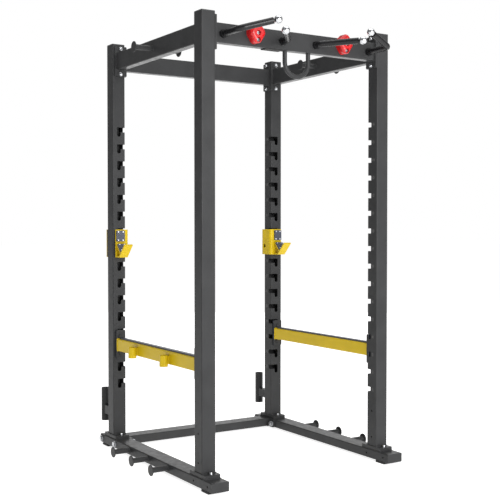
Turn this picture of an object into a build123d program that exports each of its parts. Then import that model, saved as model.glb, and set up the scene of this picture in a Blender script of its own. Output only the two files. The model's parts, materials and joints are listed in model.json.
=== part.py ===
"""Power cage: four slotted posts on two base beams, a rear base beam and a ring of top beams.

Frame: +X to the user's right, +Y to the back, +Z up, floor at Z = 0. Left and right pieces mirror
each other. Every sub-part is written to parts/NODE.step in place, in millimetres.
"""
import os

from build123d import *

# ---------------------------------------------------------------- driving dimensions, millimetres
cage_width = 1205.0        # over the posts' outer faces
cage_depth = 1155.0        # over the posts' front and back faces

post_side = 80.0           # square post tube
post_wall = 3.0
post_corner = 6.0
post_length = 2320.0
cap_height = 5.0
cap_plug = 8.0

beam_long = 100.0          # 100 x 50 tube: upright in the top ring, flat on the floor
beam_short = 50.0
beam_wall = 3.0
beam_corner = 5.0

pad_height = 12.0          # floor pads under the base beams
pad_length = 71.0
pad_inset = 31.0           # from the base beam's end
base_front = 111.5         # base beam beyond the front posts' front faces
base_back = 89.5           # base beam beyond the rear posts' back faces
end_plate = 4.0            # welded plates that close the base beams

seat_plate = 10.0          # plate welded on the base beam
foot_plate = 10.0          # plate welded under the post
foot_width = 90.0
foot_overhang = 40.0       # plates beyond the post, front and back
foot_bolt_inset = 20.0     # bolt centre from the plate's end

cross_offset = 14.5        # rear base beam's centre behind the rear posts' centre
cross_flange = 10.0
cross_flange_length = 228.0
cross_bolt_spacing = 190.0

top_beam_drop = 98.0       # centre of the top beams below the posts' top ends
flange_thick = 10.0
flange_width = 76.0
flange_height = 176.0
flange_corner = 6.0
flange_bolt_spacing = 150.0
side_beam_shift = 9.5      # side top beams sit this far inboard of the posts' centre

slot_count = 16
slot_pitch = 100.0
slot_highest = 1915.0      # top edge of the highest slot above the floor
slot_tall = 54.0
slot_mouth = 28.0          # height of the entry at the post's inner corner
slot_drop = 24.0           # width of the seat
slot_side_cut = 30.0       # how far the entry reaches into the inner side face
slot_corner = 5.0

peg_bore = 11.0            # accessory holes through the front posts and base beams
post_bore_low = 132.0      # height of the lower accessory hole
post_bore_spacing = 148.0
base_bore_reach = 72.0     # base beam holes each side of the front posts' front face

bolt_size = 12.0           # top ring and foot bolts
bolt_head = 18.0
bolt_head_height = 9.0
bolt_flange = 22.0
bolt_flange_height = 2.5
bolt_dome = 5.0            # rounding of the head
bolt_socket = 6.0          # across the hexagon socket
bolt_clearance = 1.0       # hole over bolt, on the diameter
nut_across = 22.0
nut_height = 10.0
cross_bolt = 16.0
cross_head = 25.0
cross_head_height = 10.0
washer_outer = 32.0
washer_height = 3.0
cross_nut_across = 26.0
cross_nut_height = 14.0

band_peg_mid = 16.0        # middle peg behind the cage's centre
band_peg_pitch = 240.0
band_peg_count = 3
band_peg_height = 41.0
band_peg_radius = 15.0
band_peg_length = 98.0
band_disc_radius = 30.0
band_disc_thick = 6.0
top_peg_length = 110.0

grip_radius = 16.5
grip_drop = 6.0            # roots below the front beam's middle
grip_bend = 32.0
collar_radius = 21.0
collar_length = 20.0
outer_grip_root = 470.0    # from the cage's middle
outer_grip_reach = 170.0   # straight run forward of the beam
outer_ball = (293.0, 238.0, 51.0)   # from the middle, forward of the beam, above the root
inner_grip_root = 107.0
inner_grip_reach = 50.0
inner_ball = (245.0, 233.0, 4.0)
ball_radius = 21.0
ball_gap = 4.0             # neck showing between tube end and ball
neck_radius = 8.0

hold_middle = 285.0        # climbing holds, from the cage's middle
hold_rise = 16.0           # above the front beam's middle
hold_depth = 50.0
hold_round = 19.0          # rounding of the hold's front edge
hold_crown = (24.0, 27.0)   # radius of the outline's top and its height above the hold's middle
hold_side = (30.0, 16.0, 1.0)   # radius, reach and height of the outline's two sides
hold_tip = (29.0, -26.0)   # radius and height of its lower end
hold_bolt_spacing = 36.0
hold_bolt_low = 39.0       # lower bolt below the hold's middle
hold_bolt = 10.0
hold_counterbore = 24.0
hold_counterbore_depth = 20.0

loop_leg_spacing = 151.0   # hanging loop under the front beam
loop_bar = 24.0
loop_drop = 142.0          # beam's underside to the loop's lowest point
pad_strip_length = 108.0   # rubber strip under the front beam
pad_strip_thick = 4.0
pad_strip_gap = 16.0       # strip to loop leg

holder_outer = 51.0        # upright bar holder behind each rear post
holder_wall = 3.0
holder_length = 200.0
holder_low = 135.0
holder_reach = 127.5       # its axis behind the post's back face
bracket_width = 36.0
bracket_wall = 4.0
bracket_root = (118.0, 335.0)   # low and high edges of its foot, against the post
bracket_foot = (135.0, 325.0)   # and where the foot ends
bracket_foot_depth = 20.0
bracket_neck = (180.0, 232.0)

hook_slot = 6              # upper slot, counted from 0 at the top, that the bar hooks sit in
safety_slot = 12
stud_radius = 11.0
stud_head_radius = 13.3
stud_head_thick = 6.0
seat_gap = 0.5             # stud above the slot's rounded bottom
wall_gap = 1.5             # running gap between moving pieces and a post's face
lift = 29.0                # stud travel from the seat to the slot's entry

hook_plate = 8.0
hook_liner = 5.0
hook_height = 165.0
hook_below_slot = 7.0      # hook's top edge below the upper slot's top edge
hook_front_reach = 28.5    # front plate's outer edge from the post's centre
hook_bend = 16.0
hook_bore = 26.0
hook_bore_back = 17.0      # bore behind the post's centre
hook_bore_up = 57.0
cradle_width = 53.0
cradle_floor = 45.0        # flat bottom, forward of the front plate
cradle_forward = 74.0      # lip's further reach
cradle_rise = 73.0
ramp_top = 88.5            # where the rear ramp meets the front plate, above the hook's bottom
cradle_pad = 8.0
back_pad_height = 65.0
back_pad_low = 94.0
screw_head = 9.5
screw_head_height = 2.2
screw_shank = 5.0
screw_spacing = 30.0
screw_inset = 8.0

safety_wide = 50.0
safety_tall = 70.0
safety_wall = 3.0
safety_above_end = 42.5    # underside of the safety bar above its end plates' lower edge
safety_plate = 12.0
safety_liner = 8.0
safety_plate_width = 56.0
safety_plate_height = 165.0
safety_plate_below_slot = 5.0
strip_width = 28.0
strip_thick = 8.0
strip_end_gap = 16.0
boss_radius = 14.0
boss_thick = 6.0
sleeve_outer = 46.0        # upright sleeves on the safety bars' outer faces
sleeve_wall = 3.0
sleeve_height = 60.0
sleeve_below_bar = 10.0
sleeve_spacing = 390.0
sleeve_saddle = 4.0
sleeve_saddle_width = 34.0
sleeve_saddle_height = 44.0

# ---------------------------------------------------------------- places worked out from them
post_x = (cage_width - post_side) / 2
post_y = (cage_depth - post_side) / 2
half_post = post_side / 2
base_top = pad_height + beam_short
base_mid = pad_height + beam_short / 2
post_bottom = base_top + seat_plate + foot_plate
top_beam_height = post_bottom + post_length - top_beam_drop
grip_height = top_beam_height - grip_drop
hold_height = top_beam_height + hold_rise
base_low_y = -(cage_depth / 2 + base_front)
base_high_y = cage_depth / 2 + base_back
cross_y = post_y + cross_offset
side_beam_x = post_x - side_beam_shift
front_face = -(post_y + beam_short / 2)
beam_under = top_beam_height - beam_long / 2
bolt_hole = bolt_size + bolt_clearance
cross_hole = cross_bolt + bolt_clearance
stud_drop = slot_tall - slot_drop / 2 + (slot_drop / 2 - stud_radius) - seat_gap
wrap_reach = half_post + wall_gap + hook_liner + hook_plate
hook_low = slot_highest - hook_slot * slot_pitch - hook_below_slot - hook_height
safety_low = (slot_highest - safety_slot * slot_pitch - safety_plate_below_slot - safety_plate_height
              + safety_above_end)
safety_end_y = cage_depth / 2 - post_side - wall_gap - safety_liner - safety_plate
ball_front = -front_face + max(outer_ball[1], inner_ball[1]) + ball_radius
holder_back = cage_depth / 2 + holder_reach + holder_outer / 2
origin_shift = (ball_front - max(holder_back, base_high_y)) / 2   # centres the footprint on Y = 0

RIGHT, LEFT = 1, -1
REAR, FRONT = 1, -1
SIDES = {"left": LEFT, "right": RIGHT}
CORNERS = {"front_left": (LEFT, FRONT), "front_right": (RIGHT, FRONT),
           "rear_left": (LEFT, REAR), "rear_right": (RIGHT, REAR)}


# ---------------------------------------------------------------- helpers
def block(x, y, z):
    """Box from three (low, high) pairs."""
    size = [high - low for low, high in (x, y, z)]
    middle = [(high + low) / 2 for low, high in (x, y, z)]
    return Pos(*middle) * Box(*size)


def hollow(wide, deep, wall, corner, length):
    """Rectangular tube along Z from Z = 0, centred on the Z axis."""
    outside = RectangleRounded(wide, deep, corner)
    inside = RectangleRounded(wide - 2 * wall, deep - 2 * wall, max(corner - wall, 1.0))
    return extrude(outside - inside, length)


def rod(radius, start, end):
    """Round bar between two points."""
    axis = Vector(*end) - Vector(*start)
    return extrude(Plane(origin=start, z_dir=axis) * Circle(radius), axis.length)


def tube_between(radius, wall, start, end):
    """Round tube between two points."""
    axis = Vector(*end) - Vector(*start)
    ring = Circle(radius) - Circle(radius - wall)
    return extrude(Plane(origin=start, z_dir=axis) * ring, axis.length)


def yz_prism(points, x_low, x_high):
    """Polygon given as (y, z) points, extruded along X."""
    face = Plane.YZ.offset(x_low) * make_face(Polyline(*points, close=True))
    return extrude(face, x_high - x_low)


def hexagon_nut(across, bore, start, end):
    """Hexagonal nut between two points."""
    axis = Vector(*end) - Vector(*start)
    ring = RegularPolygon(across / 2, 6, major_radius=False) - Circle(bore / 2)
    return extrude(Plane(origin=start, z_dir=axis) * ring, axis.length)


def mirrored(shape, side_x=RIGHT, side_y=REAR):
    """Copy of a right or rear piece for another side or corner."""
    if side_x == LEFT:
        shape = mirror(shape, about=Plane.YZ)
    if side_y == FRONT:
        shape = mirror(shape, about=Plane.XZ)
    return shape


def group(solids):
    """Several separate solids as one node."""
    return Compound([s for shape in solids for s in shape.solids()])


# ---------------------------------------------------------------- posts
def slot_cutter():
    """One slot for a rear right post: entry through the front inner corner, then a drop to the seat.

    Its top edge is at Z = 0 and the post's axis at X = Y = 0.
    """
    seat_half = slot_drop / 2
    outline = Rectangle(half_post + 2 + seat_half, slot_mouth, align=(Align.MAX, Align.MAX))
    outline = Pos(seat_half, 0) * outline
    outline += Pos(0, 0) * Rectangle(slot_drop, slot_tall - seat_half, align=(Align.CENTER, Align.MAX))
    outline += Pos(0, -(slot_tall - seat_half)) * Circle(seat_half)
    far_corner = outline.vertices().sort_by(Axis.X)[-2:].sort_by(Axis.Y)[-1]
    outline = fillet(far_corner, slot_corner)
    front = extrude(Plane.XZ.offset(half_post + 2) * outline, -(post_wall + 3.5))
    entry = block((-half_post - 2, -half_post + post_wall + 1.5),
                  (-half_post - 2, -half_post + slot_side_cut), (-slot_mouth, 0))
    return front + entry


def post(side_x, side_y):
    """Slotted post, with bolt holes for the two top flanges that meet it."""
    tube = Pos(0, 0, post_bottom) * hollow(post_side, post_side, post_wall, post_corner, post_length)
    cutter = slot_cutter()
    cuts = [Pos(0, 0, slot_highest - i * slot_pitch) * cutter for i in range(slot_count)]
    for step in (-flange_bolt_spacing / 2, flange_bolt_spacing / 2):
        z = top_beam_height + step
        inside = -half_post + 2 * post_wall
        cuts.append(rod(bolt_hole / 2, (-side_beam_shift, -half_post - 2, z), (-side_beam_shift, inside, z)))
        cuts.append(rod(bolt_hole / 2, (-half_post - 2, 0, z), (inside, 0, z)))
    if side_y == FRONT:
        for z in (post_bore_low, post_bore_low + post_bore_spacing):
            cuts.append(rod(peg_bore / 2, (-half_post - 2, 0, z), (half_post + 2, 0, z)))
    return mirrored(Pos(post_x, post_y, 0) * (tube - cuts), side_x, side_y)


def post_cap(side_x, side_y):
    """Plastic cap with a hollow plug that fits inside the post."""
    top = post_bottom + post_length
    lid = extrude(RectangleRounded(post_side, post_side, post_corner), cap_height)
    lid = chamfer(lid.faces().sort_by(Axis.Z)[-1].edges(), 1.5)
    inner = post_side - 2 * post_wall - 0.4
    plug = hollow(inner, inner, 3.0, post_corner - post_wall, cap_plug)
    cap = Pos(0, 0, top) * lid + Pos(0, 0, top - cap_plug) * plug
    return mirrored(Pos(post_x, post_y, 0) * cap, side_x, side_y)


def foot_bolt_places():
    """Bolt centres of one post's foot, in Y from the post's axis."""
    reach = half_post + foot_overhang - foot_bolt_inset
    return (-reach, reach)


def plate_on_beam(low, thick, side_x, side_y):
    """Plate on the base beam under one post, with its two bolt holes."""
    reach = half_post + foot_overhang
    plate = block((-foot_width / 2, foot_width / 2), (-reach, reach), (low, low + thick))
    plate = fillet(plate.edges().filter_by(Axis.Z), 4.0)
    holes = [rod(bolt_hole / 2, (0, y, low - 1), (0, y, low + thick + 1)) for y in foot_bolt_places()]
    return mirrored(Pos(post_x, post_y, 0) * (plate - holes), side_x, side_y)


# ---------------------------------------------------------------- base
def base_beam(side_x):
    """Flat 100 x 50 tube along Y under a front and a rear post."""
    length = base_high_y - base_low_y
    tube = hollow(beam_long, beam_short, beam_wall, beam_corner, length)
    tube = Pos(post_x, base_high_y, base_mid) * Rot(90, 0, 0) * tube
    cuts = []
    for y_post in (-post_y, post_y):
        for y in foot_bolt_places():
            cuts.append(rod(bolt_hole / 2, (post_x, y_post + y, base_mid), (post_x, y_post + y, base_top + 1)))
    for y in (-cage_depth / 2 - base_bore_reach, -cage_depth / 2 + base_bore_reach):
        cuts.append(rod(peg_bore / 2, (post_x - beam_long, y, base_mid), (post_x + beam_long, y, base_mid)))
    for y in cross_bolt_places():
        cuts.append(rod(cross_hole / 2, (post_x - beam_long, y, base_mid), (post_x + beam_long, y, base_mid)))
    return mirrored(tube - cuts, side_x)


def base_end(side_x, end_y, outward):
    """Welded plate that closes one end of a base beam."""
    plate = extrude(RectangleRounded(beam_long, beam_short, beam_corner), end_plate)
    plate = Rot(90, 0, 0) * plate
    plate = Pos(post_x, end_y + (end_plate if outward > 0 else 0), base_mid) * plate
    return mirrored(plate, side_x)


def floor_pad(side_x, at_front):
    """Pad that carries a base beam's end clear of the floor."""
    if at_front:
        y = (base_low_y + pad_inset, base_low_y + pad_inset + pad_length)
    else:
        y = (base_high_y - pad_inset - pad_length, base_high_y - pad_inset)
    pad = block((post_x - beam_long / 2, post_x + beam_long / 2), y, (0, pad_height))
    pad = chamfer(pad.faces().sort_by(Axis.Z)[0].edges(), 2.0)
    return mirrored(pad, side_x)


def cross_bolt_places():
    """Bolt centres of the rear base beam's flanges, in Y."""
    return (cross_y - cross_bolt_spacing / 2, cross_y + cross_bolt_spacing / 2)


def rear_base_beam():
    """Flat tube along X with a welded flange at each end, bolted through the base beams."""
    inner = post_x - beam_long / 2
    length = 2 * (inner - cross_flange)
    tube = hollow(beam_long, beam_short, beam_wall, beam_corner, length)
    tube = Pos(-length / 2, cross_y, base_mid) * Rot(0, 90, 0) * Rot(0, 0, 90) * tube
    plate = block((inner - cross_flange, inner), (cross_y - cross_flange_length / 2,
                  cross_y + cross_flange_length / 2), (pad_height, base_top))
    plate = fillet(plate.edges().filter_by(Axis.X), 6.0)
    for y in cross_bolt_places():
        plate -= rod(cross_hole / 2, (inner - cross_flange - 1, y, base_mid), (inner + 1, y, base_mid))
    return tube + plate + mirrored(plate, LEFT)


# ---------------------------------------------------------------- top ring
def top_flange():
    """Flange plate in the YZ plane, standing on X = 0 and reaching to +X."""
    plate = RectangleRounded(flange_width, flange_height, flange_corner)
    for step in (-flange_bolt_spacing / 2, flange_bolt_spacing / 2):
        plate -= Pos(0, step) * Circle(bolt_hole / 2)
    return extrude(Plane.YZ * plate, flange_thick)


def top_beam(clear):
    """Upright 100 x 50 tube along X with a flange at each end; clear is the gap it fills."""
    length = clear - 2 * flange_thick
    tube = hollow(beam_short, beam_long, beam_wall, beam_corner, length)
    tube = Pos(-length / 2, 0, 0) * Rot(0, 90, 0) * Rot(0, 0, 90) * tube
    plate = Pos(length / 2, 0, 0) * top_flange()
    return tube + plate + mirrored(plate, LEFT)


def cross_top_beam(side_y):
    """Front or rear beam of the top ring."""
    return Pos(0, side_y * post_y, top_beam_height) * top_beam(cage_width - 2 * post_side)


def side_top_beam(side_x):
    """Side beam of the top ring."""
    beam = Rot(0, 0, 90) * top_beam(cage_depth - 2 * post_side)
    return Pos(side_x * side_beam_x, 0, top_beam_height) * beam


# ---------------------------------------------------------------- fasteners
def flange_bolt(seat, direction, grip):
    """Dome-headed flange screw; seat is where the head lands, direction points out of the head."""
    out = Vector(*direction)
    at = Vector(*seat)
    flange_top = at + out * bolt_flange_height
    head_top = flange_top + out * bolt_head_height
    bolt = rod(bolt_flange / 2, at, flange_top)
    head = rod(bolt_head / 2, flange_top, head_top)
    crown = head.faces().sort_by(Axis(at, out))[-1]
    bolt += fillet(crown.edges(), bolt_dome)
    bolt += rod(bolt_size / 2, (at - out * grip), at)
    socket = Plane(origin=head_top, z_dir=-out) * RegularPolygon(bolt_socket / 2, 6, major_radius=False)
    return bolt - extrude(socket, 5.0)


def top_bolt_seats():
    """Seats and head directions of the two flanges at a rear right post."""
    seats = []
    for step in (-flange_bolt_spacing / 2, flange_bolt_spacing / 2):
        z = top_beam_height + step
        seats.append(((side_beam_x, post_y - half_post, z), (0, -1, 0)))
        seats.append(((post_x - half_post, post_y, z), (-1, 0, 0)))
    return seats


def top_bolts():
    """Bolts of all eight top flanges."""
    grip = flange_thick + post_wall + nut_height + 2
    bolts = []
    for side_x, side_y in CORNERS.values():
        for face, out in top_bolt_seats():
            seat = (Vector(*face) + Vector(*out) * flange_thick)
            bolts.append(mirrored(flange_bolt(seat, out, grip), side_x, side_y))
    return group(bolts)


def top_nuts():
    """Weld nuts inside the posts behind the top flanges."""
    nuts = []
    for side_x, side_y in CORNERS.values():
        for face, out in top_bolt_seats():
            start = Vector(*face) - Vector(*out) * post_wall
            end = start - Vector(*out) * nut_height
            nut = hexagon_nut(nut_across, bolt_size + 0.2, start, end)
            nuts.append(mirrored(nut, side_x, side_y))
    return group(nuts)


def foot_bolts():
    """Bolts that hold the posts' foot plates to the base beams."""
    top = base_top + seat_plate + foot_plate
    grip = seat_plate + foot_plate + beam_wall + nut_height + 2
    bolts = []
    for side_x, side_y in CORNERS.values():
        for y in foot_bolt_places():
            bolts.append(mirrored(flange_bolt((post_x, post_y + y, top), (0, 0, 1), grip), side_x, side_y))
    return group(bolts)


def foot_nuts():
    """Weld nuts under the base beams' top walls."""
    top = base_top - beam_wall
    nuts = []
    for side_x, side_y in CORNERS.values():
        for y in foot_bolt_places():
            nut = hexagon_nut(nut_across, bolt_size + 0.2, (post_x, post_y + y, top),
                              (post_x, post_y + y, top - nut_height))
            nuts.append(mirrored(nut, side_x, side_y))
    return group(nuts)


def cross_bolts():
    """Long bolts through the base beams into the rear base beam's flanges."""
    outer = post_x + beam_long / 2 + washer_height
    inner = post_x - beam_long / 2 - cross_flange - washer_height - cross_nut_height - 4
    bolts = []
    for side_x in SIDES.values():
        for y in cross_bolt_places():
            shank = rod(cross_bolt / 2, (inner, y, base_mid), (outer, y, base_mid))
            head = extrude(Plane(origin=(outer, y, base_mid), z_dir=(1, 0, 0))
                           * RegularPolygon(cross_head / 2, 6, major_radius=False), cross_head_height)
            bolts.append(mirrored(shank + head, side_x))
    return group(bolts)


def cross_washers():
    """Washers under the long bolts' heads and nuts."""
    outer = post_x + beam_long / 2
    inner = post_x - beam_long / 2 - cross_flange
    washers = []
    for side_x in SIDES.values():
        for y in cross_bolt_places():
            for low in (outer, inner - washer_height):
                washer = tube_between(washer_outer / 2, (washer_outer - cross_hole) / 2,
                                      (low, y, base_mid), (low + washer_height, y, base_mid))
                washers.append(mirrored(washer, side_x))
    return group(washers)


def cross_nuts():
    """Nuts on the long bolts, inboard of the flanges."""
    start = post_x - beam_long / 2 - cross_flange - washer_height
    nuts = []
    for side_x in SIDES.values():
        for y in cross_bolt_places():
            nut = hexagon_nut(cross_nut_across, cross_bolt + 0.2, (start, y, base_mid),
                              (start - cross_nut_height, y, base_mid))
            nuts.append(mirrored(nut, side_x))
    return group(nuts)


# ---------------------------------------------------------------- band pegs
def band_peg(start_x, y, z, outward, length):
    """Round peg along X with a rimmed end disc."""
    end_x = start_x + outward * length
    peg = rod(band_peg_radius, (start_x, y, z), (end_x, y, z))
    disc = rod(band_disc_radius, (end_x, y, z), (end_x + outward * band_disc_thick, y, z))
    disc = fillet(disc.edges().filter_by(GeomType.CIRCLE), band_disc_thick / 2 - 0.4)
    return peg + disc


def base_pegs(side_x):
    """The pegs on one base beam's outer face."""
    start = post_x + beam_long / 2
    first = band_peg_mid - band_peg_pitch * (band_peg_count - 1) / 2
    pegs = [band_peg(start, first + i * band_peg_pitch, band_peg_height, 1, band_peg_length)
            for i in range(band_peg_count)]
    return mirrored(group(pegs), side_x)


def top_pegs(side_x):
    """The outer and inner pegs on one side top beam."""
    pegs = [band_peg(side_beam_x + beam_short / 2, band_peg_mid, top_beam_height, 1, top_peg_length),
            band_peg(side_beam_x - beam_short / 2, band_peg_mid, top_beam_height, -1, top_peg_length)]
    return mirrored(group(pegs), side_x)


# ---------------------------------------------------------------- front beam fittings
def grip_path(root_x, reach, ball):
    """Root, knee and ball centre of a right-hand grip."""
    root = Vector(root_x, front_face, grip_height)
    knee = Vector(root_x, front_face - reach, grip_height)
    centre = Vector(ball[0], front_face - ball[1], grip_height + ball[2])
    return root, knee, centre


def grip(root_x, reach, ball):
    """Bent grip tube with a root collar and a stub for its ball."""
    root, knee, centre = grip_path(root_x, reach, ball)
    along = (centre - knee).normalized()
    tip = centre - along * (ball_radius + ball_gap)
    route = FilletPolyline(root, knee, tip, radius=grip_bend)
    tube = sweep(Plane(origin=root, z_dir=(0, -1, 0)) * Circle(grip_radius), path=route)
    tube += rod(collar_radius, root, (root + Vector(0, -collar_length, 0)))
    stub_end = centre - along * (ball_radius - 6)
    return tube + rod(neck_radius, tip, stub_end)


def grip_ball(root_x, reach, ball):
    """Polished ball screwed on a grip's stub."""
    root, knee, centre = grip_path(root_x, reach, ball)
    along = (centre - knee).normalized()
    socket = rod(neck_radius, (centre - along * (ball_radius + 2)),
                 (centre - along * (ball_radius - 6)))
    return Pos(*centre) * Sphere(ball_radius) - socket


def hold_outline():
    """Egg-shaped outline in a plane with +Y up."""
    radius, reach, rise = hold_side
    outline = Pos(0, hold_crown[1]) * Circle(hold_crown[0])
    outline += Pos(-reach, rise) * Circle(radius)
    outline += Pos(reach, rise) * Circle(radius)
    outline += Pos(0, hold_tip[1]) * Circle(hold_tip[0])
    return make_hull(outline.edges())


def hold_bolt_places():
    """Heights of a hold's two bolts from the hold's middle."""
    return (-hold_bolt_low, -hold_bolt_low + hold_bolt_spacing)


def climbing_hold(side_x):
    """Rounded climbing hold on the front beam's face, with two counterbored bolts."""
    plane = Plane(origin=(hold_middle, front_face, hold_height), x_dir=(1, 0, 0), z_dir=(0, -1, 0))
    body = extrude(plane * hold_outline(), hold_depth)
    body = fillet(body.faces().sort_by(Axis.Y)[0].edges(), hold_round)
    for step in hold_bolt_places():
        z = hold_height + step
        body -= rod(hold_bolt / 2 + 0.5, (hold_middle, front_face + 1, z), (hold_middle, front_face - hold_depth - 1, z))
        body -= rod(hold_counterbore / 2, (hold_middle, front_face - hold_depth + hold_counterbore_depth, z),
                    (hold_middle, front_face - hold_depth - 1, z))
    return mirrored(body, side_x)


def hold_bolts():
    """Cap screws in the climbing holds, run into the front beam's wall."""
    bolts = []
    seat = front_face - hold_depth + hold_counterbore_depth
    for side_x in SIDES.values():
        for step in hold_bolt_places():
            z = hold_height + step
            bolt = rod(hold_bolt * 0.8, (hold_middle, seat, z), (hold_middle, seat - hold_bolt, z))
            bolt += rod(hold_bolt / 2, (hold_middle, seat, z), (hold_middle, front_face + beam_wall, z))
            bolt -= extrude(Plane(origin=(hold_middle, seat - hold_bolt, z), z_dir=(0, 1, 0))
                            * RegularPolygon(4.0, 6, major_radius=False), 5.0)
            bolts.append(mirrored(bolt, side_x))
    return group(bolts)


def front_beam():
    """Front top beam with threaded holes for the climbing holds' bolts."""
    beam = cross_top_beam(FRONT)
    for side_x in SIDES.values():
        for step in hold_bolt_places():
            at = (side_x * hold_middle, front_face, hold_height + step)
            beam -= rod(hold_bolt / 2 + 0.1, (at[0], at[1] - 1, at[2]), (at[0], at[1] + beam_wall + 1, at[2]))
    return beam


def hanging_loop():
    """U-shaped round bar welded under the middle of the front beam."""
    half = loop_leg_spacing / 2
    y = -post_y
    turn = beam_under - (loop_drop - loop_bar / 2 - half)
    left_leg = Line((-half, y, beam_under), (-half, y, turn))
    bow = ThreePointArc((-half, y, turn), (0, y, turn - half), (half, y, turn))
    right_leg = Line((half, y, turn), (half, y, beam_under))
    route = Wire([left_leg, bow, right_leg])
    return sweep(Plane(origin=(-half, y, beam_under), z_dir=(0, 0, -1)) * Circle(loop_bar / 2), path=route)


def beam_strip():
    """Rubber strip stuck under the front beam, left of the hanging loop."""
    end = -(loop_leg_spacing / 2 + loop_bar / 2 + pad_strip_gap)
    return block((end - pad_strip_length, end), (-post_y - beam_short / 2 + 1, -post_y + beam_short / 2 - 1),
                 (beam_under - pad_strip_thick, beam_under))


# ---------------------------------------------------------------- bar holders
def bar_holder(side_x):
    """Upright tube for a spare bar on a box bracket with a tall foot, behind a rear post."""
    back = cage_depth / 2
    axis_y = back + holder_reach
    high = holder_low + holder_length
    tube = tube_between(holder_outer / 2, holder_wall, (post_x, axis_y, holder_low), (post_x, axis_y, high))
    tip_y = axis_y - holder_outer / 2 + 1.5

    def outline(inset):
        foot_y = back + bracket_foot_depth - inset
        low = [(back, bracket_root[0] + inset), (foot_y, bracket_foot[0] + inset),
               (foot_y, bracket_neck[0] + inset), (tip_y, bracket_neck[0] + inset)]
        high = [(tip_y, bracket_neck[1] - inset), (foot_y, bracket_neck[1] - inset),
                (foot_y, bracket_foot[1] - inset), (back, bracket_root[1] - inset)]
        return low + high

    half = bracket_width / 2
    bracket = yz_prism(outline(0), post_x - half, post_x + half)
    bracket -= yz_prism(outline(bracket_wall), post_x - half + bracket_wall, post_x + half - bracket_wall)
    bore = rod(holder_outer / 2 - holder_wall, (post_x, axis_y, holder_low), (post_x, axis_y, high))
    return mirrored(tube + (bracket - bore), side_x)


# ---------------------------------------------------------------- bar hooks
def hook_cradle():
    """Side profile, in Y and Z from the post's axis and the hook's bottom: floor, lip and rear ramp."""
    face = -wrap_reach
    lip = Vector(-cradle_forward, cradle_rise).normalized()
    inward = Vector(lip.Y, -lip.X)
    foot = Vector(face - cradle_floor, 0)
    top = foot + Vector(-cradle_forward, cradle_rise)
    inner_foot = foot + inward * hook_plate
    inner_top = top + inward * hook_plate
    return face, lip, inward, foot, top, inner_foot, inner_top


def ramp_line():
    """Upper surface of the rear ramp: its top end at the front plate and its foot on the lip."""
    face, lip, inward, foot, top, inner_foot, inner_top = hook_cradle()
    head = Vector(face, ramp_top)
    along = Vector(-1, -1).normalized()
    reach = (inner_foot - head).cross(lip).Z / along.cross(lip).Z
    return head, along, head + along * reach


def screw(plane):
    """Round-headed screw on a pad, its head standing out along the plane's normal."""
    head = fillet((plane * Cylinder(screw_head / 2, screw_head_height, align=(Align.CENTER, Align.CENTER,
                  Align.MIN))).faces().sort_by(Axis(plane.origin, plane.z_dir))[-1].edges(), 1.2)
    return head + extrude(plane * Circle(screw_shank / 2), -(cradle_pad + hook_plate - 1))


def pad_planes():
    """Planes on the surfaces of the hook's two pads, Z out of the pad, with each pad's length."""
    face, lip, inward, foot, top, inner_foot, inner_top = hook_cradle()
    head, along, heel = ramp_line()
    back = Plane(origin=(0, face - cradle_pad, back_pad_low + back_pad_height / 2),
                 x_dir=(1, 0, 0), z_dir=(0, -1, 0))
    ramp_out = Vector(along.Y, -along.X)
    ramp_start = head + along * (cradle_pad + 11.0)
    ramp_end = heel - along * cradle_pad
    ramp_mid = (ramp_start + ramp_end) * 0.5 + ramp_out * cradle_pad
    ramp = Plane(origin=(0, ramp_mid.X, ramp_mid.Y), x_dir=(1, 0, 0), z_dir=(0, ramp_out.X, ramp_out.Y))
    return {"back": (back, back_pad_height), "ramp": (ramp, (ramp_end - ramp_start).length)}


def screw_planes(plane, length):
    """Planes of one pad's four screws."""
    rise = length / 2 - screw_inset
    return [plane * Pos(x, y, 0) for x in (-screw_spacing / 2, screw_spacing / 2) for y in (-rise, rise)]


def hook_pad(name):
    """One plastic pad of the hook, with its screw holes."""
    plane, length = pad_planes()[name]
    pad = extrude(plane * RectangleRounded(cradle_width, length, 3.0), -cradle_pad)
    for at in screw_planes(plane, length):
        pad -= extrude(Plane(at) * Circle(screw_shank / 2 + 0.1), -cradle_pad)
    return pad


def wrap_section(reach, thick, bend):
    """C-shaped band round three sides of the post, open on the outer side."""
    outer = RectangleRounded(2 * reach, 2 * reach, bend)
    inner = RectangleRounded(2 * (reach - thick), 2 * (reach - thick), max(bend - thick, 1.0))
    band = outer - inner
    band -= Pos(half_post + reach, 0) * Rectangle(2 * reach, 4 * reach)
    return band - Pos(hook_front_reach + reach, -reach) * Rectangle(2 * reach, 2 * reach)


def slot_studs(face_y, inward_y, heights):
    """Shouldered studs that pass a post's front wall; face_y is where they leave their plate."""
    neck_end = -(half_post - post_wall - wall_gap)
    studs = []
    for z in heights:
        stud = rod(stud_radius, (0, face_y, z), (0, neck_end, z))
        studs.append(stud + rod(stud_head_radius, (0, neck_end, z), (0, neck_end + inward_y * stud_head_thick, z)))
    return studs


def stud_heights(slot, low):
    """Heights of two studs seated in a slot and the one below it, from a piece's bottom edge."""
    top = slot_highest - slot * slot_pitch - stud_drop - low
    return (top, top - slot_pitch)


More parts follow.
